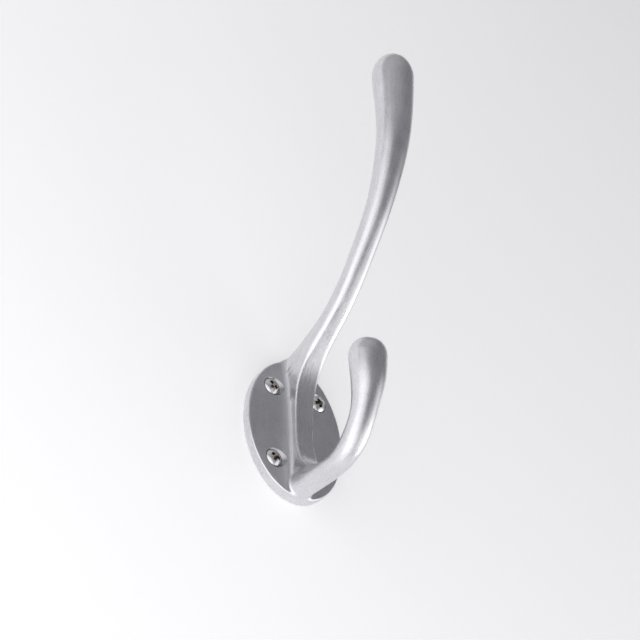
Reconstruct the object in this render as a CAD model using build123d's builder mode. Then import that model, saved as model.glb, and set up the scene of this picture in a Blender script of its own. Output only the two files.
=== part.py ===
from build123d import *
from math import cos, radians, sin, tan
import os

os.makedirs("parts", exist_ok=True)

# A double wall hook: one aluminium casting with a long hat arm above and a short coat arm below,
# held to the wall by four countersunk screws.
#
# Frame: the wall is the plane Y = 0 and the hook stands out towards -Y. +X is to the right of
# somebody facing the hook, +Z is up. The origin is the middle of the plate's back face.

# Back plate: an oval, its face two flats that rise from each side to a ridge down the middle.
plate_width = 40.4
plate_height = 56.8
plate_edge_thickness = 3.5
face_slope = 3.0
plate_front_edge_radius = 0.5
plate_back_edge_radius = 0.25

# Screw holes: four corners of a rectangle, countersunk.
hole_spacing_x = 20.0
hole_spacing_z = 30.0
hole_radius = 1.8
countersink_radius = 3.7
countersink_angle = 90.0

# Screws: 3 mm wood screws with a raised countersunk head, a cross recess, and a plain neck where
# they pass through the plate.
screw_radius = 1.5
screw_neck_radius = 1.2
screw_head_radius = 3.3
screw_head_rise = 1.2
screw_length = 25.0
screw_point_length = 3.5
recess_width = 1.1
recess_span = 4.2
recess_depth = 1.5
recess_taper = 8.0
screw_turns = {"upper_left": 52.0, "upper_right": 20.0, "lower_left": 66.0, "lower_right": 35.0}
seat_gap = 0.03

# Arms: each is a run of stations along its middle line, from its root to the widest place of its
# bulb. A station is (distance out from the plate's face, height, half width, half depth, roundness).
# The roundness is the corner radius of the section as a share of its smaller half size.
hat_arm_stations = [
    (-1.6, 19.9, 4.3, 3.6, 0.55),
    (3.6, 22.4, 4.2, 3.7, 0.55),
    (15.7, 29.3, 4.1, 3.6, 0.60),
    (28.9, 38.1, 3.9, 3.4, 0.65),
    (42.7, 52.5, 4.1, 3.8, 0.80),
    (52.1, 64.6, 4.5, 4.5, 0.90),
    (59.2, 78.0, 5.3, 5.3, 0.95),
    (63.4, 90.0, 6.1, 6.1, 0.95),
    (65.5, 103.0, 6.9, 6.9, 0.95),
    (66.4, 118.0, 7.8, 7.8, 0.95),
]
hat_bulb_end_length = 11.0
coat_arm_stations = [
    (-2.6, -23.6, 4.4, 3.8, 0.60),
    (7.1, -24.5, 4.2, 3.6, 0.60),
    (15.0, -25.5, 4.0, 3.4, 0.60),
    (21.5, -25.6, 3.9, 3.3, 0.60),
    (27.4, -23.8, 4.1, 3.5, 0.65),
    (32.2, -20.0, 4.3, 3.8, 0.70),
    (36.0, -14.8, 4.4, 4.1, 0.80),
    (38.5, -8.8, 4.9, 4.9, 0.90),
    (40.2, -2.4, 6.0, 6.0, 0.95),
    (40.9, 5.9, 6.7, 6.7, 0.95),
]
coat_bulb_end_length = 6.7
section_count = 19
bulb_seam = 0.05

# Rib: it joins the two arms down the middle of the plate. Its front runs from the front of the hat
# arm, down the plate, and round into the upper side of the coat arm. Its roots lie inside the arms
# and the plate.
rib_half_width = 3.7
rib_front = [
    (16.5, 25.4),
    (11.8, 21.8),
    (7.9, 16.5),
    (5.4, 8.6),
    (4.5, -1.0),
    (4.7, -9.6),
    (7.0, -16.2),
    (11.6, -21.0),
    (17.0, -23.2),
]
rib_roots = [(17.0, -25.0), (-2.0, -24.0), (-2.0, 22.0), (14.0, 28.0)]
rib_front_radius = 0.9
rib_foot_radius = 2.6
foot_inset = 0.9

hole_x = hole_spacing_x / 2
hole_z = hole_spacing_z / 2
face_at_edge = plate_edge_thickness
face_at_ridge = face_at_edge + plate_width / 2 * tan(radians(face_slope))
face_at_hole = face_at_ridge - hole_x * tan(radians(face_slope))


def place(out, up):
    """The point in the middle plane that stands out from the plate's face by out, at height up."""
    return Vector(0, -face_at_hole - out, up)


def between(values, position):
    """A smooth curve through evenly spaced values, read at a position from 0 to 1."""
    scaled = position * (len(values) - 1)
    index = min(int(scaled), len(values) - 2)
    part = scaled - index
    start = values[index]
    end = values[index + 1]
    start_slope = (end - values[max(index - 1, 0)]) / 2
    end_slope = (values[min(index + 2, len(values) - 1)] - start) / 2
    bend = 2 * (start - end) + start_slope + end_slope
    return start + part * (start_slope + part * (end - start - start_slope - bend + part * bend))


def section_plane(stations, position):
    """The plane square to an arm's middle line at a position from 0, its root, to 1."""
    line = Spline(*[place(station[0], station[1]) for station in stations], mode=Mode.PRIVATE)
    return Plane(origin=line @ position, x_dir=(1, 0, 0), z_dir=line % position)


def dome_profile(radius, length):
    """Points along a quarter of an oval, from its widest place to its end."""
    return [(radius * cos(radians(angle)), length * sin(radians(angle))) for angle in (0, 30, 60, 90)]


def make_arm(stations, end_length):
    """An arm lofted along its middle line and closed by the round end of its bulb."""
    half_widths, half_depths, roundnesses = list(zip(*[station[2:] for station in stations]))
    with BuildPart() as arm:
        for step in range(section_count):
            position = step / (section_count - 1)
            half_width = between(half_widths, position)
            half_depth = between(half_depths, position)
            corner = between(roundnesses, position) * min(half_width, half_depth)
            with BuildSketch(section_plane(stations, position)):
                RectangleRounded(2 * half_width, 2 * half_depth, corner)
        loft()
        end = section_plane(stations, 1)
        end_radius = half_widths[-1] - bulb_seam
        with BuildSketch(Plane(origin=end.origin, x_dir=(1, 0, 0), z_dir=-end.y_dir)):
            with BuildLine():
                Spline(*dome_profile(end_radius, end_length), tangents=[(0, 1), (-1, 0)])
                Polyline((0, end_length), (0, 0), (end_radius, 0))
            make_face()
        revolve(axis=Axis(end.origin, end.z_dir))
    return arm.part


hat_arm = make_arm(hat_arm_stations, hat_bulb_end_length)
coat_arm = make_arm(coat_arm_stations, coat_bulb_end_length)

# The rib is drawn in side view.
side_view = Plane(origin=(0, -face_at_hole, 0), x_dir=(0, -1, 0), z_dir=(-1, 0, 0))
with BuildPart() as rib:
    with BuildSketch(side_view):
        with BuildLine():
            Spline(*rib_front)
            Polyline(rib_front[-1], *rib_roots, rib_front[0])
        make_face()
    extrude(amount=rib_half_width, both=True)
    front_edges = rib.edges().filter_by(GeomType.BSPLINE)
    fillet(front_edges, rib_front_radius)

# The plate. Its screw holes are made in the whole casting.
half_plate = plate_width / 2
with BuildPart() as plate:
    with BuildSketch(Plane.XZ):
        Ellipse(half_plate, plate_height / 2)
    extrude(amount=face_at_ridge)
    with BuildSketch(Plane.XY):
        with BuildLine():
            roof = Polyline((-half_plate, -face_at_edge), (0, -face_at_ridge), (half_plate, -face_at_edge))
            Polyline(roof @ 1, (half_plate, 0), (-half_plate, 0), roof @ 0)
        make_face()
    extrude(amount=plate_height, both=True, mode=Mode.INTERSECT)
    rim_edges = plate.edges().filter_by(GeomType.LINE, reverse=True)
    front_edges = rim_edges.filter_by_position(Axis.Y, -face_at_ridge, -face_at_edge / 2)
    back_edges = rim_edges.filter_by_position(Axis.Y, -face_at_edge / 2, 0)
    fillet(front_edges, plate_front_edge_radius)
    fillet(plate.edges().group_by(Axis.Y)[-1], plate_back_edge_radius)

# The foot of the rib: a hollow curve each side, from one end of the plate to the other, that also
# carries the roots of the two arms out to the plate's edge.
foot_half_width = rib_half_width + rib_foot_radius
foot_base = -face_at_edge
foot_top = foot_base - rib_foot_radius
with BuildPart() as foot:
    with BuildSketch(Plane.XY):
        with BuildLine():
            right = CenterArc((foot_half_width, foot_top), rib_foot_radius, 90, 90)
            left = CenterArc((-foot_half_width, foot_top), rib_foot_radius, 0, 90)
            Line(right @ 1, left @ 0)
            back_left = (-foot_half_width, -plate_back_edge_radius)
            back_right = (foot_half_width, -plate_back_edge_radius)
            Polyline(left @ 1, back_left, back_right, right @ 0)
        make_face()
    extrude(amount=plate_height, both=True)
    with BuildSketch(Plane.XZ):
        Ellipse(half_plate - foot_inset, plate_height / 2 - foot_inset)
    extrude(amount=-foot_top, mode=Mode.INTERSECT)

with BuildPart() as hook_casting:
    add(plate.part)
    add(foot.part)
    add(rib.part)
    add(hat_arm)
    add(coat_arm)
    with Locations(Plane(origin=(0, -face_at_hole, 0), x_dir=(1, 0, 0), z_dir=(0, -1, 0))):
        with GridLocations(hole_spacing_x, hole_spacing_z, 2, 2):
            CounterSinkHole(hole_radius, countersink_radius, counter_sink_angle=countersink_angle)
hook_casting.part.label = "hook_casting"
export_step(hook_casting.part, "parts/hook_casting.step")

# Screws. The head sinks into the countersink until their cones meet, less the seating gap.
cone_slope = tan(radians(countersink_angle / 2))
seated_radius = screw_head_radius + seat_gap / cos(radians(countersink_angle / 2))
head_edge = -face_at_hole + (countersink_radius - seated_radius) / cone_slope
head_base = head_edge + (screw_head_radius - screw_neck_radius) / cone_slope
head_top = head_edge - screw_head_rise
screw_tip = head_edge + screw_length
crown_radius = (screw_head_radius**2 + screw_head_rise**2) / (2 * screw_head_rise)


def make_screw(x, z, turn):
    """A screw standing in its hole, with its cross recess turned as the driver left it."""
    with BuildPart() as screw:
        with BuildSketch(Plane(origin=(x, 0, z))):
            with BuildLine():
                RadiusArc((0, head_top), (screw_head_radius, head_edge), -crown_radius)
                Polyline(
                    (screw_head_radius, head_edge),
                    (screw_neck_radius, head_base),
                    (screw_neck_radius, 0),
                    (screw_radius, 0),
                    (screw_radius, screw_tip - screw_point_length),
                    (0, screw_tip),
                    (0, head_top),
                )
            make_face()
        revolve(axis=Axis((x, 0, z), (0, 1, 0)))
        with BuildSketch(Plane(origin=(x, head_top, z), x_dir=(1, 0, 0), z_dir=(0, 1, 0))):
            Rectangle(recess_span, recess_width, rotation=turn)
            Rectangle(recess_span, recess_width, rotation=turn + 90)
        extrude(amount=recess_depth, taper=recess_taper, mode=Mode.SUBTRACT)
    return screw.part


for name, turn in screw_turns.items():
    side = 1 if name.endswith("right") else -1
    level = 1 if name.startswith("upper") else -1
    screw = make_screw(side * hole_x, level * hole_z, turn)
    screw.label = "screw_" + name
    export_step(screw, "parts/screw_" + name + ".step")
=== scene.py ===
"""The looks of a double wall hook: one satin aluminium casting and the four screws that hold it."""

import math

import bmesh
import bpy
import numpy as np
from mathutils import Matrix, Vector


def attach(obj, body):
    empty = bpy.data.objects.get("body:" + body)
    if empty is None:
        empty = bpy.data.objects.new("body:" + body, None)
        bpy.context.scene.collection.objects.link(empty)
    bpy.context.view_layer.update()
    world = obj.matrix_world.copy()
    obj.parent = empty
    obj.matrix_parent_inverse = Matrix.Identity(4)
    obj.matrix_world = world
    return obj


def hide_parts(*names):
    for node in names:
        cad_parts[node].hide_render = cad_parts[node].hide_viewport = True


MM = 0.001

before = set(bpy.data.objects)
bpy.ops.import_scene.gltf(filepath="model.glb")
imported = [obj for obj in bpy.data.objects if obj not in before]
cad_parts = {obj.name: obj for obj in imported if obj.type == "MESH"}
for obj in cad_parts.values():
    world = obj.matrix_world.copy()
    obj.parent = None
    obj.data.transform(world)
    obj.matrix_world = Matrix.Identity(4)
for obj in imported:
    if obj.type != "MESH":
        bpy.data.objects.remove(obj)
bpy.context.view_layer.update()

# ---------------------------------------------------------------------------------------------
# Sizes, in millimetres. The main ones are those of the CAD model. "Out" is the distance from the
# plate's face at its screw holes, away from the wall.

PLATE_HALF_WIDTH = 20.2
PLATE_HALF_HEIGHT = 28.4
PLATE_EDGE_THICKNESS = 3.5
FACE_SLOPE = math.radians(3.0)
PLATE_ARRIS = 0.5
PLATE_BACK_ARRIS = 0.3
HOLE_X = 10.0
HOLE_Z = 15.0
HOLE_RADIUS = 1.8
SINK_RADIUS = 3.7
FACE_AT_RIDGE = PLATE_EDGE_THICKNESS + PLATE_HALF_WIDTH * math.tan(FACE_SLOPE)
FACE_AT_HOLE = FACE_AT_RIDGE - HOLE_X * math.tan(FACE_SLOPE)

# Stations along each arm's middle line: out, height, half width, half depth, squareness.
HAT_ARM = [
    (-3.4, 19.0, 4.2, 3.4, 3.9),
    (3.6, 22.4, 4.2, 3.6, 3.9),
    (15.7, 29.3, 4.1, 3.6, 3.7),
    (28.9, 38.1, 3.9, 3.4, 3.3),
    (42.7, 52.5, 4.1, 3.8, 2.7),
    (52.1, 64.6, 4.5, 4.4, 2.3),
    (59.2, 78.0, 5.3, 5.3, 2.1),
    (63.4, 90.0, 6.1, 6.1, 2.0),
    (65.5, 103.0, 6.9, 6.9, 2.0),
    (66.4, 118.0, 7.8, 7.8, 2.0),
]
HAT_TIP = 10.9
HAT_TIP_SQUARENESS = 2.1
COAT_ARM = [
    (-3.4, -23.4, 4.4, 4.7, 2.3),
    (7.1, -24.6, 4.4, 3.8, 2.3),
    (15.0, -25.6, 4.2, 3.2, 2.4),
    (21.5, -25.6, 4.0, 3.2, 2.5),
    (27.4, -23.8, 4.1, 3.5, 2.6),
    (32.2, -20.0, 4.3, 3.8, 2.5),
    (36.0, -14.8, 4.4, 4.1, 2.3),
    (38.5, -8.8, 4.9, 4.9, 2.2),
    (40.2, -2.4, 6.0, 6.0, 2.0),
    (40.9, 5.9, 6.7, 6.7, 2.0),
]
COAT_TIP = 7.1
COAT_TIP_SQUARENESS = 2.4

# The rib joins the arms down the middle of the plate, and the heel fills the corner between the
# plate and the top of the hat arm. Each is drawn as a line in side view: out, height.
RIB_HALF_WIDTH = 3.75
RIB_FRONT = [
    (20.6, 29.2),
    (16.2, 25.6),
    (11.8, 21.8),
    (7.9, 16.5),
    (5.4, 8.6),
    (4.5, -1.0),
    (4.7, -9.6),
    (7.0, -16.8),
    (11.4, -21.8),
    (17.0, -24.4),
]
HEEL_TOP = [
    (-5.0, 28.2),
    (-0.5, 28.2),
    (3.8, 28.8),
    (8.0, 30.0),
    (12.5, 31.9),
    (17.5, 33.6),
]
HEEL_HALF_WIDTH = 4.15
HEEL_SPLAY = 0.9
HEEL_SPLAY_REACH = 3.0
RIB_EDGE = 0.35
ROOT_EDGE = 1.5
ROOT_EDGE_AT = 16.0
RIB_TO_ARM = 0.7

# Where the rib, the heel and the arms meet the plate: a hollow fillet, larger round the plate's
# top, and a low flare of the plate's face.
SIDE_COVE = 1.1
FLARE_RISE = 1.6
FLARE_REACH = 2.0
TOP_COVE = 2.8
COVE_TURN = 20.0
COVE_LEAST = 0.08

# The screws, heads towards -Y. Their heads sink until the cones all but meet.
HEAD_RADIUS = 3.3
HEAD_RISE = 1.5
SEAT_GAP = 0.04
HEAD_EDGE = -FACE_AT_HOLE + SINK_RADIUS - HEAD_RADIUS - SEAT_GAP
NECK_RADIUS = 1.2
THREAD_RADIUS = 1.5
THREAD_PITCH = 1.35
THREAD_START = 0.3
THREAD_CORE = 0.85 * NECK_RADIUS
THREAD_HALF_RIDGE = 0.22
THREAD_STEPS = 14
SCREW_LENGTH = 25.0
POINT_LENGTH = 3.5
RECESS_SPAN = 4.9
RECESS_WIDTH = 1.45
RECESS_DEPTH = 1.5
RECESS_END_SPAN = 0.35 * RECESS_SPAN
RECESS_END_WIDTH = 0.6 * RECESS_WIDTH

# Each screw's x and z, and the turn of its recess in degrees.
SCREWS = {
    "screw_upper_left": (-HOLE_X, HOLE_Z, 52.0),
    "screw_upper_right": (HOLE_X, HOLE_Z, 20.0),
    "screw_lower_left": (-HOLE_X, -HOLE_Z, 66.0),
    "screw_lower_right": (HOLE_X, -HOLE_Z, 35.0),
}

# The grid that the casting's field is worked out on, and how far from a line its marks reach. The
# plate's marks are those within PLATE_ON_GRID of the grid's back.
CELL = 0.42
LINE_STEP = 0.25
GRID_MARGIN = 2.0
GRID_BOTTOM = -32.0
GRID_TOP = 131.5
GRID_OUT = 77.0
SETTLE_ROUNDS = 6
PLATE_ON_GRID = 7.0
ARM_REACH = 9.0
END_WEIGHT = 4.0
MARKS_APART = 200.0
MARKS_FADE = 2.5


# ---------------------------------------------------------------------------------------------
# The casting. Its surface is where a field, close to the distance from the metal, is zero.


def smooth_line(knots):
    """A natural cubic curve through rows of numbers whose first two are a place. One row per step."""
    knots = np.array(knots, float)
    reach = np.concatenate([[0], np.cumsum(np.hypot(*np.diff(knots[:, :2], axis=0).T))])
    gaps = np.diff(reach)
    count = len(knots)
    system = np.eye(count)
    bends = np.zeros_like(knots)
    for i in range(1, count - 1):
        system[i, i - 1 : i + 2] = gaps[i - 1], 2 * (gaps[i - 1] + gaps[i]), gaps[i]
        slopes = np.diff(knots[i - 1 : i + 2], axis=0) / gaps[i - 1 : i + 1, None]
        bends[i] = 6 * (slopes[1] - slopes[0])
    bends = np.linalg.solve(system, bends)
    along = np.linspace(0, reach[-1], int(reach[-1] / LINE_STEP))
    i = np.clip(np.searchsorted(reach, along, side="right") - 1, 0, count - 2)
    gap = gaps[i][:, None]
    b = (along - reach[i])[:, None] / gap
    a = 1 - b
    bent = (a**3 - a) * bends[i] + (b**3 - b) * bends[i + 1]
    return a * knots[i] + b * knots[i + 1] + bent * gap**2 / 6


def side_view(line, out, up):
    """For places in the side view: how far before the line's start, how far past its end, how far
    to its left, how far along it, and the line's other columns there."""
    steps = np.gradient(line[:, :2], axis=0)
    tangents = steps / np.linalg.norm(steps, axis=1)[:, None]
    lengths = np.linalg.norm(steps, axis=1)
    places = np.stack([out.ravel(), up.ravel()], 1)
    nearest = np.empty(len(places), int)
    batch = 20000
    for first in range(0, len(places), batch):
        some = places[first : first + batch]
        square = (some[:, :1] - line[:, 0]) ** 2 + (some[:, 1:] - line[:, 1]) ** 2
        nearest[first : first + batch] = square.argmin(1)
    offset = places - line[nearest, :2]
    tangent = tangents[nearest]
    ahead = (offset * tangent).sum(1)
    left = offset[:, 1] * tangent[:, 0] - offset[:, 0] * tangent[:, 1]
    slopes = np.gradient(line[:, 2:], axis=0) / lengths[:, None]
    reach = np.clip(ahead, -LINE_STEP, LINE_STEP)
    columns = line[nearest, 2:] + slopes[nearest] * reach[:, None]
    before = np.where(nearest == 0, -ahead, -1.0)
    after = np.where(nearest == len(line) - 1, ahead, -1.0)
    along = nearest * LINE_STEP + reach
    shaped = [v.reshape(out.shape) for v in (before, after, left, along)]
    return *shaped, *[column.reshape(out.shape) for column in columns.T]


def smooth_union(a, b, radius):
    """Joins two fields with a hollow fillet of the radius."""
    inner_a = np.maximum(radius - a, 0)
    inner_b = np.maximum(radius - b, 0)
    return np.maximum(radius, np.minimum(a, b)) - np.hypot(inner_a, inner_b)


def smooth_overlap(a, b, radius):
    """Where two fields overlap, with a rounded edge of the radius."""
    return -smooth_union(-a, -b, radius)


def arm_field(x, view, tip, tip_squareness):
    """An arm of the given half width, half depth and squareness, closed by a round tip."""
    before, after, left, _, half_width, half_depth, squareness = view
    across = np.abs(x) / half_width + 1e-6
    deep = np.abs(left) / half_depth + 1e-6
    power_across = across ** (squareness - 1)
    power_deep = deep ** (squareness - 1)
    ring = (power_across * across + power_deep * deep) ** (1 / squareness)
    scale = ring ** (1 - squareness)
    slope = np.hypot(scale * power_across / half_width, scale * power_deep / half_depth)
    past = np.maximum(after, 0) / tip
    power_ring = ring ** (tip_squareness - 1)
    power_past = past ** (tip_squareness - 1)
    whole = (power_ring * ring + power_past * past) ** (1 / tip_squareness)
    shrink = whole ** (1 - tip_squareness)
    slope = np.hypot(slope * power_ring * shrink, power_past * shrink / tip)
    return np.maximum((whole - 1) / slope, before)


def plate_field(x, out, up):
    """The oval plate, its face two flats that meet at a low ridge and flare up to the rib."""
    across = x / PLATE_HALF_WIDTH
    tall = up / PLATE_HALF_HEIGHT
    ring = np.hypot(across, tall) + 1e-6
    slope = np.hypot(across / PLATE_HALF_WIDTH, tall / PLATE_HALF_HEIGHT) / ring
    rim = (ring - 1) / slope
    rise = FACE_AT_RIDGE - FACE_AT_HOLE - np.abs(x) * math.tan(FACE_SLOPE)
    fade = 1 - np.clip(tall**2, 0, 1) ** 2
    from_rib = np.maximum(np.abs(x) - RIB_HALF_WIDTH, 0)
    flare = FLARE_RISE * fade * np.exp(-from_rib / FLARE_REACH)
    face = (out - rise - flare) / np.hypot(1, flare / FLARE_REACH)
    back = -FACE_AT_HOLE - out
    return smooth_overlap(smooth_overlap(rim, face, PLATE_ARRIS), back, PLATE_BACK_ARRIS)


def casting_field(x, out, up, hat, coat, rib, heel):
    """The whole casting without its screw holes."""
    hat_field = arm_field(x, hat, HAT_TIP, HAT_TIP_SQUARENESS)
    coat_field = arm_field(x, coat, COAT_TIP, COAT_TIP_SQUARENESS)

    # Towards the hat arm the rib grows wider and its edges rounder, and by the plate it splays.
    raised = np.clip(up / COVE_TURN, 0, 1)
    merged = np.clip(out / ROOT_EDGE_AT, 0, 1) ** 2
    by_plate = np.exp(-np.maximum(out, 0) / HEEL_SPLAY_REACH)
    splay = HEEL_SPLAY * by_plate * raised**4
    widening = (HEEL_HALF_WIDTH - RIB_HALF_WIDTH) * raised**2 * (3 - 2 * raised) * (1 - merged)
    side = np.abs(x) - RIB_HALF_WIDTH - widening - splay
    edge = RIB_EDGE + (ROOT_EDGE - RIB_EDGE) * merged * raised
    rib_field = np.maximum(smooth_overlap(side, rib[2], edge), rib[0])
    rib_field = np.maximum(rib_field, np.maximum(hat[2], -coat[2]))

    # By the plate the heel's top follows the curve of the plate's rim.
    share = np.minimum(np.abs(x) / PLATE_HALF_WIDTH, 1)
    rim_drop = PLATE_HALF_HEIGHT * (1 - np.sqrt(1 - share**2))
    heel_field = smooth_overlap(side, heel[2] + rim_drop * by_plate, RIB_EDGE)
    heel_field = np.maximum(heel_field, -hat[2])
    arms = smooth_union(np.minimum(hat_field, coat_field), rib_field, RIB_TO_ARM)
    arms = smooth_union(arms, heel_field, RIB_TO_ARM)

    topness = np.clip((up - COVE_TURN) / (PLATE_HALF_HEIGHT - COVE_TURN), 0, 1) ** 2
    frontness = np.clip((out + FACE_AT_HOLE) / FACE_AT_HOLE, COVE_LEAST, 1)
    cove = (SIDE_COVE + (TOP_COVE - SIDE_COVE) * topness) * frontness
    whole = smooth_union(arms, plate_field(x, out, up), cove)
    return np.maximum(whole, -FACE_AT_HOLE - out)


SIDE_LINES = (HAT_ARM, COAT_ARM, RIB_FRONT, HEEL_TOP)


def casting_volume():
    """The casting's field on a grid, the grid's first corner, and the side views of its lines."""
    low = np.array([-PLATE_HALF_WIDTH - GRID_MARGIN, -FACE_AT_HOLE - GRID_MARGIN, GRID_BOTTOM])
    high = np.array([PLATE_HALF_WIDTH + GRID_MARGIN, GRID_OUT, GRID_TOP])
    counts = np.ceil((high - low) / CELL).astype(int) + 1
    xs, outs, ups = [low[i] + CELL * np.arange(counts[i]) for i in range(3)]
    out, up = np.meshgrid(outs, ups, indexing="ij")
    views = [side_view(smooth_line(knots), out, up) for knots in SIDE_LINES]
    volume = np.stack([casting_field(x, out, up, *views) for x in xs]).astype(np.float32)
    return volume, low, views


def read(volume, places):
    """The volume's value at places given in cells, blended from the eight corners round each."""
    limit = np.array(volume.shape[:3]) - 1.001
    places = np.clip(places, 0, limit)
    base = places.astype(int)
    part = (places - base).astype(np.float32)
    total = 0
    for corner in range(8):
        offset = np.array([corner & 1, corner >> 1 & 1, corner >> 2 & 1])
        weight = np.prod(np.where(offset, part, 1 - part), axis=1)
        i, j, k = (base + offset).T
        value = volume[i, j, k]
        total = total + (weight[:, None] if value.ndim > 1 else weight) * value
    return total


def surface_of(volume):
    """Corner places, in cells, and four-sided faces of the surface where the volume is zero."""
    inside = volume < 0
    shape = np.array(volume.shape) - 1
    mixed = np.zeros(shape, bool)
    crossing_sum = np.zeros((*shape, 3), np.float32)
    crossing_count = np.zeros(shape, np.float32)
    grid = np.indices(shape).transpose(1, 2, 3, 0)
    quads = []
    for axis in range(3):
        one, two = [a for a in range(3) if a != axis]
        for shift in ((0, 0), (0, 1), (1, 0), (1, 1)):
            window = [None] * 3
            window[one] = slice(shift[0], shape[one] + shift[0])
            window[two] = slice(shift[1], shape[two] + shift[1])
            near, far = list(window), list(window)
            near[axis] = slice(0, shape[axis])
            far[axis] = slice(1, shape[axis] + 1)
            first, second = volume[tuple(near)], volume[tuple(far)]
            cut = (first < 0) != (second < 0)
            share = np.where(cut, first / np.where(cut, first - second, 1), 0)
            mixed |= cut
            crossing_count += cut
            crossing_sum[..., axis] += share
            crossing_sum[..., one] += cut * shift[0]
            crossing_sum[..., two] += cut * shift[1]
    number = np.full(shape, -1)
    number[mixed] = np.arange(mixed.sum())
    corners = grid[mixed] + crossing_sum[mixed] / crossing_count[mixed][:, None]
    for axis in range(3):
        one, two = (axis + 1) % 3, (axis + 2) % 3
        window = [slice(1, -1)] * 3
        window[axis] = slice(0, -1)
        ahead = list(window)
        ahead[axis] = slice(1, None)
        first, second = inside[tuple(window)], inside[tuple(ahead)]
        edges = np.argwhere(first != second)
        outward = first[first != second]
        start = edges + 1
        start[:, axis] -= 1
        ring = []
        for shift in ((0, 0), (1, 0), (1, 1), (0, 1)):
            cell = start.copy()
            cell[:, one] -= 1 - shift[0]
            cell[:, two] -= 1 - shift[1]
            ring.append(number[tuple(cell.T)])
        faces = np.stack(ring, 1)
        faces[~outward] = faces[~outward][:, ::-1]
        quads.append(faces)
    return corners, np.concatenate(quads)


def settle(corners, faces, volume, slopes, rounds):
    """Evens out the corners, keeping them on the surface."""
    pairs = np.concatenate([faces[:, [i, (i + 1) % 4]] for i in range(4)])
    for _ in range(rounds):
        total = np.zeros_like(corners)
        count = np.zeros(len(corners))
        for a, b in ((0, 1), (1, 0)):
            for axis in range(3):
                total[:, axis] += np.bincount(pairs[:, a], corners[pairs[:, b], axis], len(corners))
            count += np.bincount(pairs[:, a], minlength=len(corners))
        pull = total / count[:, None] - corners
        normals = read(slopes, corners)
        normals /= np.linalg.norm(normals, axis=1)[:, None]
        pull -= normals * (pull * normals).sum(1)[:, None]
        corners = corners + 0.5 * pull
        for _ in range(2):
            slope = read(slopes, corners)
            away = read(volume, corners) / (slope**2).sum(1)
            corners = corners - away[:, None] * slope
    return corners


def place_of(corners):
    """Places in the shared frame, in metres, of places given as x, out and up in millimetres."""
    return np.stack([corners[:, 0], -FACE_AT_HOLE - corners[:, 1], corners[:, 2]], 1) * MM


def new_object(name, corners, faces, smooth=True, closed=True):
    """A mesh object from corners and faces."""
    mesh = bpy.data.meshes.new(name)
    mesh.from_pydata([tuple(c) for c in corners], [], [tuple(f) for f in faces])
    if closed:
        shell = bmesh.new()
        shell.from_mesh(mesh)
        bmesh.ops.recalc_face_normals(shell, faces=shell.faces)
        shell.to_mesh(mesh)
        shell.free()
    mesh.polygons.foreach_set("use_smooth", [smooth] * len(mesh.polygons))
    mesh.update()
    piece = bpy.data.objects.new(name, mesh)
    bpy.context.scene.collection.objects.link(piece)
    return piece


def lathe(name, profile, centre_x, centre_z, around, dent=None):
    """A closed solid turned about a line along Y. The profile is (radius, y) from one end to the
    other, in millimetres, its ends on the line. dent(angle, radius, y) gives each ring's radius."""
    angles = 2 * math.pi * np.arange(around) / around
    corners = [(0, profile[0][1], 0)]
    for radius, y in profile[1:-1]:
        rings = np.full(around, radius) if dent is None else dent(angles, radius, y)
        corners += [(r * math.cos(a), y, r * math.sin(a)) for r, a in zip(rings, angles)]
    corners.append((0, profile[-1][1], 0))
    last = len(corners) - 1
    faces = []
    rows = len(profile) - 2
    for i in range(around):
        j = (i + 1) % around
        faces.append((0, 1 + i, 1 + j))
        for row in range(rows - 1):
            a = 1 + row * around
            faces.append((a + i, a + around + i, a + around + j, a + j))
        a = 1 + (rows - 1) * around
        faces.append((a + i, last, a + j))
    places = (np.array(corners) + (centre_x, 0, centre_z)) * MM
    return new_object(name, places, faces)


def cut(piece, cutter):
    """Takes the cutter out of the piece."""
    knife = piece.modifiers.new("cut", "BOOLEAN")
    knife.object = cutter
    knife.operation = "DIFFERENCE"
    knife.solver = "EXACT"
    knife.material_mode = "TRANSFER"
    graph = bpy.context.evaluated_depsgraph_get()
    cut_mesh = bpy.data.meshes.new_from_object(piece.evaluated_get(graph))
    piece.modifiers.clear()
    old = piece.data
    piece.data = cut_mesh
    cut_mesh.name = piece.name
    bpy.data.meshes.remove(old)
    bpy.data.objects.remove(cutter)


def make_casting():
    """The casting, its surface smooth and its screw holes cut with crisp edges."""
    volume, low, views = casting_volume()
    corners, faces = surface_of(volume)
    slopes = np.stack(np.gradient(volume), -1)
    corners = settle(corners, faces, volume, slopes, rounds=SETTLE_ROUNDS)
    piece = new_object("casting", place_of(low + corners * CELL), faces)
    piece.data.materials.append(satin_aluminium())
    # The second material is the countersinks', darkened as painted shade in the holes.
    piece.data.materials.append(machined_aluminium_painted_shade())
    for x in (-HOLE_X, HOLE_X):
        for z in (-HOLE_Z, HOLE_Z):
            drill = make_drill(x, z)
            drill.data.materials.append(piece.data.materials[1])
            cut(piece, drill)
    # The cuts made new corners, so the field is read afresh at all of them.
    places = np.empty(len(piece.data.vertices) * 3)
    piece.data.vertices.foreach_get("co", places)
    x, y, z = places.reshape(-1, 3).T / MM
    cells = (np.stack([x, -FACE_AT_HOLE - y, z], 1) - low) / CELL
    slope = read(slopes, cells)
    slope /= np.linalg.norm(slope, axis=1)[:, None]
    smooth_normals(piece, slope * (1, -1, 1))
    lay_marks(piece, cells, low, views)
    return piece


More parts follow.
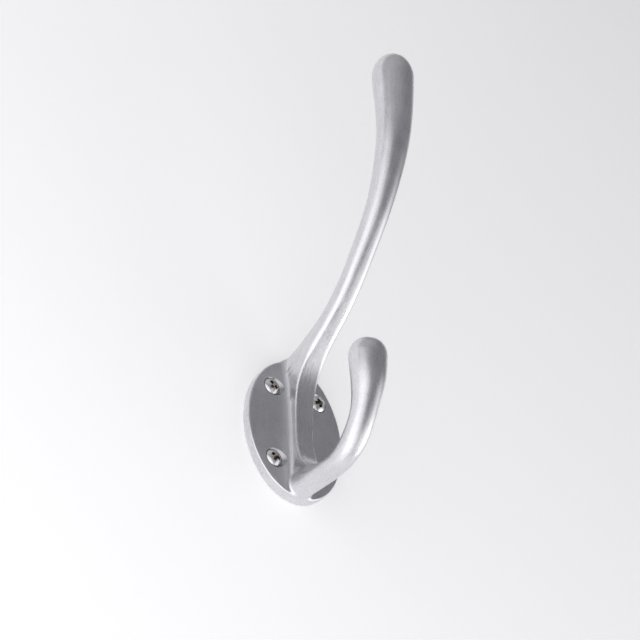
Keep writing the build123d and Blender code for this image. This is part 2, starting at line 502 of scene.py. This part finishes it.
def lay_marks(piece, cells, low, views):
    """Gives each corner its place as the polisher's marks see it: how far along the arm, rib or
    plate that it is on, and then its two places across it. "clear" is how much of the marks is
    left, since they fade where those of one part give way to those of the next."""
    x = cells[:, 0] * CELL + low[0]
    from_back = cells[:, 1] * CELL
    flat = np.zeros((len(cells), 3))
    flat[:, :2] = cells[:, 1:]
    nearest = np.full(len(cells), 1e3)
    second = nearest
    marks = np.zeros((len(cells), 3))
    for number, view in enumerate(views[:3]):
        past, ahead, left, along = [read(np.stack([layer, layer], 2), flat) for layer in view[:4]]
        apart = np.abs(left) + END_WEIGHT * np.maximum(np.maximum(past, ahead), 0)
        closer = apart < nearest
        place = np.stack([along + MARKS_APART * number, x, left], 1)
        marks[closer] = place[closer]
        second = np.minimum(second, np.maximum(nearest, apart))
        nearest = np.minimum(nearest, apart)
    on_plate = (from_back < PLATE_ON_GRID) | (nearest > ARM_REACH)
    marks[on_plate] = np.stack([cells[:, 2] * CELL, x, from_back], 1)[on_plate]
    layer = piece.data.attributes.new("marks", "FLOAT_VECTOR", "POINT")
    layer.data.foreach_set("vector", marks.ravel())
    from_change = np.minimum(second - nearest, np.abs(from_back - PLATE_ON_GRID))
    from_change[from_back < PLATE_ON_GRID - MARKS_FADE] = MARKS_FADE
    layer = piece.data.attributes.new("clear", "FLOAT", "POINT")
    layer.data.foreach_set("value", np.clip(from_change / MARKS_FADE, 0, 1))


def make_drill(x, z):
    """The space that a countersunk hole takes out of the casting."""
    mouth = 1.0
    behind = 1.0
    profile = [
        (0, -FACE_AT_HOLE - mouth),
        (SINK_RADIUS + mouth, -FACE_AT_HOLE - mouth),
        (HOLE_RADIUS, -FACE_AT_HOLE + SINK_RADIUS - HOLE_RADIUS),
        (HOLE_RADIUS, behind),
        (0, behind),
    ]
    return lathe("drill", profile, x, z, around=96)


def smooth_normals(piece, normals):
    """Shades the casting by the field's own slope, and the holes by their faces."""
    mesh = piece.data
    loops = len(mesh.loops)
    corner_of = np.empty(loops, np.int32)
    mesh.loops.foreach_get("vertex_index", corner_of)
    face_of = np.repeat(np.arange(len(mesh.polygons)), [p.loop_total for p in mesh.polygons])
    slots = np.empty(len(mesh.polygons), np.int32)
    mesh.polygons.foreach_get("material_index", slots)
    flat = np.empty(len(mesh.polygons) * 3)
    mesh.polygons.foreach_get("normal", flat)
    shading = normals[corner_of]
    in_hole = slots[face_of] == 1
    shading[in_hole] = flat.reshape(-1, 3)[face_of[in_hole]]
    mesh.normals_split_custom_set(shading)


def make_screw(name, x, z, turn):
    """A raised countersunk wood screw with a cross recess and a rolled thread."""
    crown = (HEAD_RADIUS**2 + HEAD_RISE**2) / (2 * HEAD_RISE)
    top = [(0, HEAD_EDGE - HEAD_RISE)]
    for share in np.linspace(0.06, 1, 16):
        radius = HEAD_RADIUS * share
        rise = math.sqrt(crown**2 - radius**2) - (crown - HEAD_RISE)
        top.append((radius, HEAD_EDGE - rise))
    neck = HEAD_EDGE + HEAD_RADIUS - NECK_RADIUS
    tip = HEAD_EDGE + SCREW_LENGTH
    shank = [(NECK_RADIUS, neck), (NECK_RADIUS, THREAD_START)]
    for y in np.arange(THREAD_START + 0.1, tip - 0.05, THREAD_PITCH / THREAD_STEPS):
        shank.append((THREAD_RADIUS, y))
    profile = top + shank + [(0, tip)]

    def thread(angles, radius, y):
        """The thread's ridge winds round its core and dies away at both ends."""
        if radius != THREAD_RADIUS:
            return np.full(len(angles), radius)
        phase = (y / THREAD_PITCH - angles / (2 * math.pi)) % 1.0
        ridge = np.clip(1 - np.abs(phase - 0.5) / THREAD_HALF_RIDGE, 0, 1)
        taper = min(1.0, (tip - y) / POINT_LENGTH)
        start = min(1.0, (y - THREAD_START) / THREAD_PITCH)
        height = (THREAD_RADIUS - THREAD_CORE) * start * min(1.0, 1.6 * taper)
        return np.minimum(THREAD_CORE * taper + height * ridge, THREAD_RADIUS)

    piece = lathe(name, profile, x, z, around=64, dent=thread)
    piece.data.materials.append(plated_steel())
    # The second material is the recesses', coloured dark brown as painted shade.
    piece.data.materials.append(recess_painted_shade())
    for arm in range(2):
        blade = recess_blade(x, z, math.radians(turn + 90 * arm))
        blade.data.materials.append(piece.data.materials[1])
        cut(piece, blade)
    return piece


def recess_blade(x, z, angle):
    """One of the two crossed slots, narrower and shorter at its bottom."""
    crown = HEAD_EDGE - HEAD_RISE
    above = 0.3
    levels = (
        (crown - above, RECESS_SPAN, RECESS_WIDTH),
        (crown + RECESS_DEPTH, RECESS_END_SPAN, RECESS_END_WIDTH),
    )
    corners = []
    for y, span, width in levels:
        for along, across in ((-1, -1), (1, -1), (1, 1), (-1, 1)):
            u, v = along * span / 2, across * width / 2
            corner_x = x + u * math.cos(angle) - v * math.sin(angle)
            corner_z = z + u * math.sin(angle) + v * math.cos(angle)
            corners.append((corner_x, y, corner_z))
    faces = [(0, 1, 2, 3), (7, 6, 5, 4)]
    for i in range(4):
        j = (i + 1) % 4
        faces.append((i, i + 4, j + 4, j))
    return new_object("blade", np.array(corners) * MM, faces, smooth=False)


# ---------------------------------------------------------------------------------------------
# Materials


def add_node(tree, kind, inputs=(), **settings):
    """A new node. Each of its inputs is linked to a socket or set to a value."""
    node = tree.nodes.new("ShaderNode" + kind)
    for key, value in settings.items():
        setattr(node, key, value)
    for key, value in dict(inputs).items():
        if isinstance(value, bpy.types.NodeSocket):
            tree.links.new(value, node.inputs[key])
        else:
            node.inputs[key].default_value = value
    return node


class Nodes:
    """A short way to build a material's nodes."""

    def __init__(self, name):
        self.material = bpy.data.materials.new(name)
        self.material.use_nodes = True
        self.tree = self.material.node_tree
        self.shader = self.tree.nodes["Principled BSDF"]

    def add(self, kind, inputs=(), **settings):
        return add_node(self.tree, kind, inputs, **settings)

    def link(self, output, key):
        """Links an output to the shader."""
        self.tree.links.new(output, self.shader.inputs[key])

    def spread(self, value, low, high, to_low, to_high):
        """Maps a value from one span to another."""
        inputs = {0: value, 1: low, 2: high, 3: to_low, 4: to_high}
        return self.add("MapRange", inputs).outputs[0]

    def ramp(self, value, *stops):
        """A colour for each position of a value."""
        node = self.add("ValToRGB", {0: value})
        band = node.color_ramp.elements
        while len(band) < len(stops):
            band.new(0.5)
        for element, (position, colour) in zip(band, stops):
            element.position = position
            element.color = (*colour, 1)
        return node.outputs[0]


def satin_aluminium():
    """Cast aluminium, linished by hand: fine marks run along each arm, with a few scratches across
    them, over a slightly cloudy grey, and the metal is a little duller in patches. The marks are laid
    out in millimetres, and the rest in metres."""
    nodes = Nodes("satin_aluminium")
    nodes.shader.inputs["Metallic"].default_value = 1.0
    place = nodes.add("TexCoord").outputs["Object"]
    marks = nodes.add("Attribute", attribute_name="marks").outputs["Vector"]
    drawn_out = nodes.add("Mapping", {"Vector": marks, "Scale": (0.10, 1.0, 1.0)}).outputs[0]
    streaks = nodes.add("TexNoise", {"Vector": drawn_out, "Scale": 1.5, "Detail": 5.0}).outputs[0]
    hairs = nodes.add("TexNoise", {"Vector": drawn_out, "Scale": 9.0, "Detail": 2.0}).outputs[0]
    slant = {"Vector": marks, "Rotation": (0.0, 0.0, 0.9), "Scale": (0.12, 2.6, 0.12)}
    crossed = nodes.add("Mapping", slant).outputs[0]
    scratches = nodes.add("TexNoise", {"Vector": crossed, "Scale": 1.7, "Detail": 1.0}).outputs[0]
    clear = nodes.add("Attribute", attribute_name="clear").outputs["Fac"]
    noises = (streaks, hairs, scratches)
    faded = [nodes.add("Mix", {0: clear, 2: 0.5, 3: noise}).outputs[0] for noise in noises]
    streaks, hairs, scratches = faded
    grain = nodes.add("TexNoise", {"Vector": place, "Scale": 1400.0, "Detail": 3.0}).outputs[0]
    cloud = nodes.add("TexNoise", {"Vector": place, "Scale": 150.0, "Detail": 4.0}).outputs[0]

    tint = nodes.ramp(cloud, (0.30, (0.745, 0.745, 0.77)), (0.70, (0.81, 0.81, 0.825)))
    shade = nodes.spread(streaks, 0.3, 0.7, 0.90, 1.0)
    speck = nodes.spread(grain, 0.3, 0.7, 0.90, 1.0)
    worn = nodes.add("Math", {0: shade, 1: speck}, operation="MULTIPLY").outputs[0]
    colour = nodes.add("VectorMath", {0: tint, "Scale": worn}, operation="SCALE").outputs[0]
    nodes.link(colour, "Base Color")

    dull = nodes.spread(cloud, 0.3, 0.7, 0.27, 0.31)
    fine = nodes.spread(streaks, 0.3, 0.7, -0.03, 0.03)
    nodes.link(nodes.add("Math", {0: dull, 1: fine}).outputs[0], "Roughness")

    scored = nodes.spread(scratches, 0.68, 0.78, 0.0, 0.2)
    lines = nodes.add("Math", {0: hairs, 1: streaks}).outputs[0]
    relief = nodes.add("Math", {0: lines, 1: scored}, operation="SUBTRACT").outputs[0]
    height = nodes.add("Math", {0: relief, 1: grain}).outputs[0]
    bump = nodes.add("Bump", {"Strength": 0.5, "Distance": 0.00003, "Height": height})
    nodes.link(bump.outputs[0], "Normal")
    return nodes.material


def grained_metal(name, scale, least_rough, most_rough):
    """The nodes of a bare metal whose roughness follows a fine grain, and the grain."""
    nodes = Nodes(name)
    nodes.shader.inputs["Metallic"].default_value = 1.0
    place = nodes.add("TexCoord").outputs["Object"]
    grain = nodes.add("TexNoise", {"Vector": place, "Scale": scale, "Detail": 2.0}).outputs[0]
    nodes.link(nodes.spread(grain, 0.3, 0.7, least_rough, most_rough), "Roughness")
    return nodes, grain


def machined_aluminium_painted_shade():
    """The countersinks, turned bright, their colour darkened as painted shade in the holes."""
    nodes, _ = grained_metal("machined_aluminium_painted_shade", 1500.0, 0.12, 0.2)
    # The dark grey base colour is painted shade in the countersinks, not the metal's own colour.
    nodes.shader.inputs["Base Color"].default_value = (0.42, 0.42, 0.44, 1)
    return nodes.material


def plated_steel():
    """The screws."""
    nodes, grain = grained_metal("plated_steel", 900.0, 0.08, 0.16)
    colour = nodes.ramp(grain, (0.35, (0.78, 0.77, 0.75)), (0.65, (0.86, 0.86, 0.86)))
    nodes.link(colour, "Base Color")
    return nodes.material


def recess_painted_shade():
    """The screws' recesses, coloured dark brown as painted shade in the cross recesses."""
    nodes, grain = grained_metal("recess_painted_shade", 1200.0, 0.3, 0.4)
    # The dark brown ramp is painted shade in the cross recesses.
    colour = nodes.ramp(grain, (0.3, (0.12, 0.10, 0.09)), (0.7, (0.30, 0.25, 0.21)))
    nodes.link(colour, "Base Color")
    return nodes.material


def wall_paint():
    """Matt white, and clear from behind, so that the hook's back can be looked at."""
    nodes = Nodes("wall_paint")
    shader = nodes.shader
    shader.inputs["Base Color"].default_value = (0.82, 0.82, 0.83, 1)
    shader.inputs["Roughness"].default_value = 0.9
    shader.inputs["Specular IOR Level"].default_value = 0.1
    shader.inputs["Emission Color"].default_value = (1, 1, 1, 1)
    shader.inputs["Emission Strength"].default_value = 0.33
    from_behind = nodes.add("NewGeometry").outputs["Backfacing"]
    clear = nodes.add("BsdfTransparent").outputs[0]
    both = nodes.add("MixShader", {0: from_behind, 1: shader.outputs[0], 2: clear})
    output = nodes.tree.nodes["Material Output"]
    nodes.tree.links.new(both.outputs[0], output.inputs["Surface"])
    return nodes.material


def floor_paint():
    nodes = Nodes("floor_paint")
    nodes.shader.inputs["Base Color"].default_value = (0.80, 0.80, 0.81, 1)
    nodes.shader.inputs["Roughness"].default_value = 0.7
    return nodes.material


# ---------------------------------------------------------------------------------------------
# The stage, the lights and the camera

AZIMUTH = math.radians(-38.7)
ELEVATION = math.radians(-37.8)
ROLL = math.radians(-3.0)
DISTANCE = 0.595
AIM = Vector((-0.0067, -0.0285, 0.0300))
LENS = 95.6
FLOOR_Z = -0.9
WALL_SIZE = 2.4


def sheet_of(name, corners, material):
    """A flat stage piece."""
    piece = new_object(name, corners, [(0, 1, 2, 3)], smooth=False, closed=False)
    piece.data.materials.append(material)
    return piece


def make_stage():
    """A wall just behind the plate's back, and a floor below it."""
    half = WALL_SIZE / 2
    behind = 0.0002
    low_left, low_right = (-half, behind, FLOOR_Z), (half, behind, FLOOR_Z)
    wall = [low_left, low_right, (half, behind, half), (-half, behind, half)]
    sheet_of("wall", wall, wall_paint())
    floor = [(-half, -WALL_SIZE, FLOOR_Z), (half, -WALL_SIZE, FLOOR_Z), low_right, low_left]
    sheet_of("floor", floor, floor_paint())


def softbox(name, direction, distance, size, brightness, colour=(1, 1, 1)):
    """A soft light in a direction from the hook, facing it, brightest in its middle and fading out
    to nothing at its edges."""
    lamp = bpy.data.lights.new(name, "AREA")
    lamp.shape = "RECTANGLE"
    lamp.size, lamp.size_y = size
    lamp.energy = brightness * math.pi * size[0] * size[1]
    lamp.color = colour
    lamp.use_nodes = True
    tree = lamp.node_tree
    place = add_node(tree, "NewGeometry").outputs["Parametric"]
    spots = add_node(tree, "SeparateXYZ", {0: place}).outputs
    fades = []
    for side in range(2):
        offset = add_node(tree, "Math", {0: spots[side], 1: 0.5}, operation="SUBTRACT").outputs[0]
        apart = add_node(tree, "Math", {0: offset}, operation="ABSOLUTE").outputs[0]
        spans = {0: apart, 1: 0.0, 2: 0.5, 3: 1.0, 4: 0.0}
        fades.append(add_node(tree, "MapRange", spans, interpolation_type="SMOOTHSTEP").outputs[0])
    both = add_node(tree, "Math", {0: fades[0], 1: fades[1]}, operation="MULTIPLY").outputs[0]
    tree.links.new(both, tree.nodes["Emission"].inputs["Strength"])
    holder = bpy.data.objects.new(name, lamp)
    holder.visible_camera = False
    away = Vector(direction).normalized()
    across = away.cross((0, -1, 0)).normalized()
    turn = Matrix((across, away.cross(across), away)).transposed().to_4x4()
    holder.matrix_world = Matrix.Translation(AIM + away * distance) @ turn
    bpy.context.scene.collection.objects.link(holder)


def towards(out_angle, round_angle):
    """A direction given by its angle off the wall's normal, and round it from +X towards +Z."""
    off, turn = math.radians(out_angle), math.radians(round_angle)
    return (math.sin(off) * math.cos(turn), -math.cos(off), math.sin(off) * math.sin(turn))


def make_lights():
    """A dim room and three softboxes: a large one low on the left, one far to the right, and a weak
    one above."""
    world = bpy.data.worlds.new("studio")
    world.use_nodes = True
    room = world.node_tree.nodes["Background"].inputs
    room["Color"].default_value = (1.0, 0.985, 1.04, 1)
    room["Strength"].default_value = 0.25
    bpy.context.scene.world = world
    softbox("left_softbox", towards(69, 221), 0.35, (2.46, 1.12), 1.32, (0.99, 0.98, 1.0))
    softbox("right_softbox", towards(85, 332), 1.13, (2.4, 3.0), 1.9)
    softbox("top_softbox", towards(75, 115), 0.35, (1.0, 1.3), 0.26)


def make_camera():
    """The camera, below the hook and to its left, a little rolled."""
    lens = bpy.data.cameras.new("camera")
    lens.lens = LENS
    lens.clip_start = 0.01
    holder = bpy.data.objects.new("camera", lens)
    across = math.cos(ELEVATION)
    back = Vector((math.sin(AZIMUTH) * across, -math.cos(AZIMUTH) * across, math.sin(ELEVATION)))
    level = Matrix.Rotation(ROLL, 4, back) @ back.to_track_quat("Z", "Y").to_matrix().to_4x4()
    holder.matrix_world = Matrix.Translation(AIM + back * DISTANCE) @ level
    bpy.context.scene.collection.objects.link(holder)
    bpy.context.scene.camera = holder


# ---------------------------------------------------------------------------------------------

casting = make_casting()
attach(casting, "root")
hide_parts("hook_casting")
for name, (x, z, turn) in SCREWS.items():
    screw = make_screw("steel_" + name, x, z, turn)
    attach(screw, "root")
    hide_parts(name)

make_stage()
make_lights()
make_camera()
bpy.context.scene.view_settings.view_transform = "Standard"
